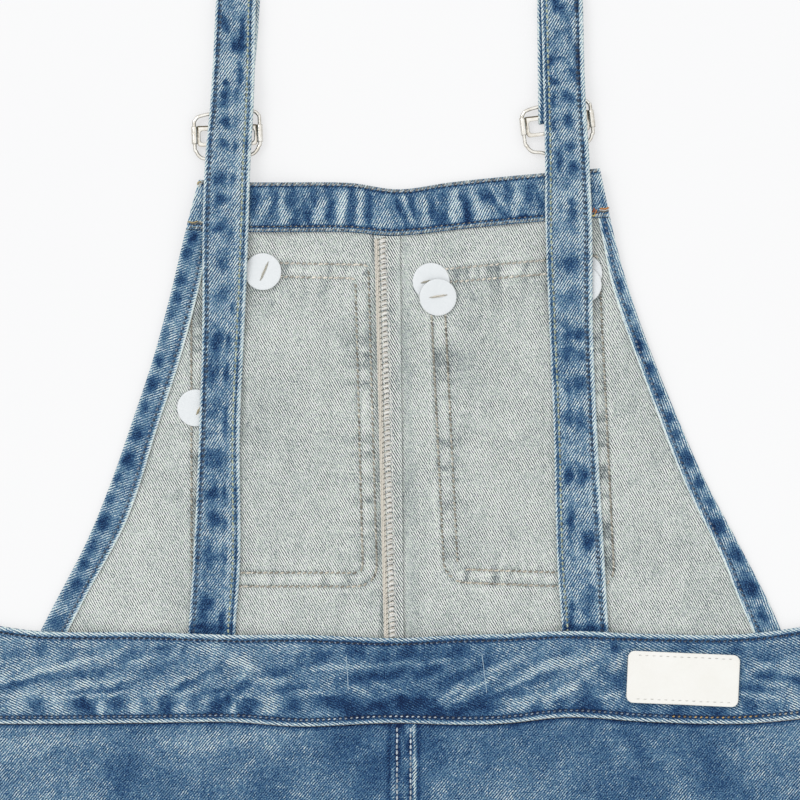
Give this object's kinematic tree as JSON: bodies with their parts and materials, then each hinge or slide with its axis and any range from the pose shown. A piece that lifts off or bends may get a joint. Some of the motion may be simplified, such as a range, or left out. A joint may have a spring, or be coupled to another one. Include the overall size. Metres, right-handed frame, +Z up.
{
  "type": "denim dungarees laid flat",
  "caption": "Full-length denim dungarees laid flat on their front, back side up, with bib, wire buckles, shoulder straps, back waistband and straight legs.",
  "frame": {"origin": "middle of the underside's bounding box, on the surface the garment lies on", "axes": "+Z up off the surface, +Y along the garment from the leg hems to the shoulder straps, +X across it"},
  "size_m": [0.5112, 1.486, 0.0094],
  "materials": {
    "denim": "washed mid-blue right side of denim twill, faded along seams and edges",
    "denim_inside": "pale grey-green wrong side of denim twill",
    "backing": "smooth white rounds",
    "leather": "cream, fine grain, blank",
    "nickel": "nickel-plated wire and stamped metal"
  },
  "bodies": {
    "root": {"bib_left": "denim_inside", "bib_right": "denim_inside", "bib_seam": "denim_inside", "bib_top_facing": "denim", "bib_facing_left": "denim", "bib_facing_right": "denim", "bib_pocket_left": "denim", "bib_pocket_right": "denim", "backing_disc_1": "backing", "backing_disc_2": "backing", "backing_disc_3": "backing", "backing_disc_4": "backing", "backing_disc_5": "backing", "backing_disc_6": "backing", "strap_left": "denim", "strap_right": "denim", "buckle_wire_left": "nickel", "buckle_wire_right": "nickel", "buckle_slider_left": "nickel", "buckle_slider_right": "nickel", "bib_button_left": "nickel", "bib_button_right": "nickel", "waistband_back": "denim", "waistband_front": "denim", "label_patch": "leather", "back_left": "denim", "back_right": "denim", "front_left": "denim", "front_right": "denim"}
  },
  "joints": []
}
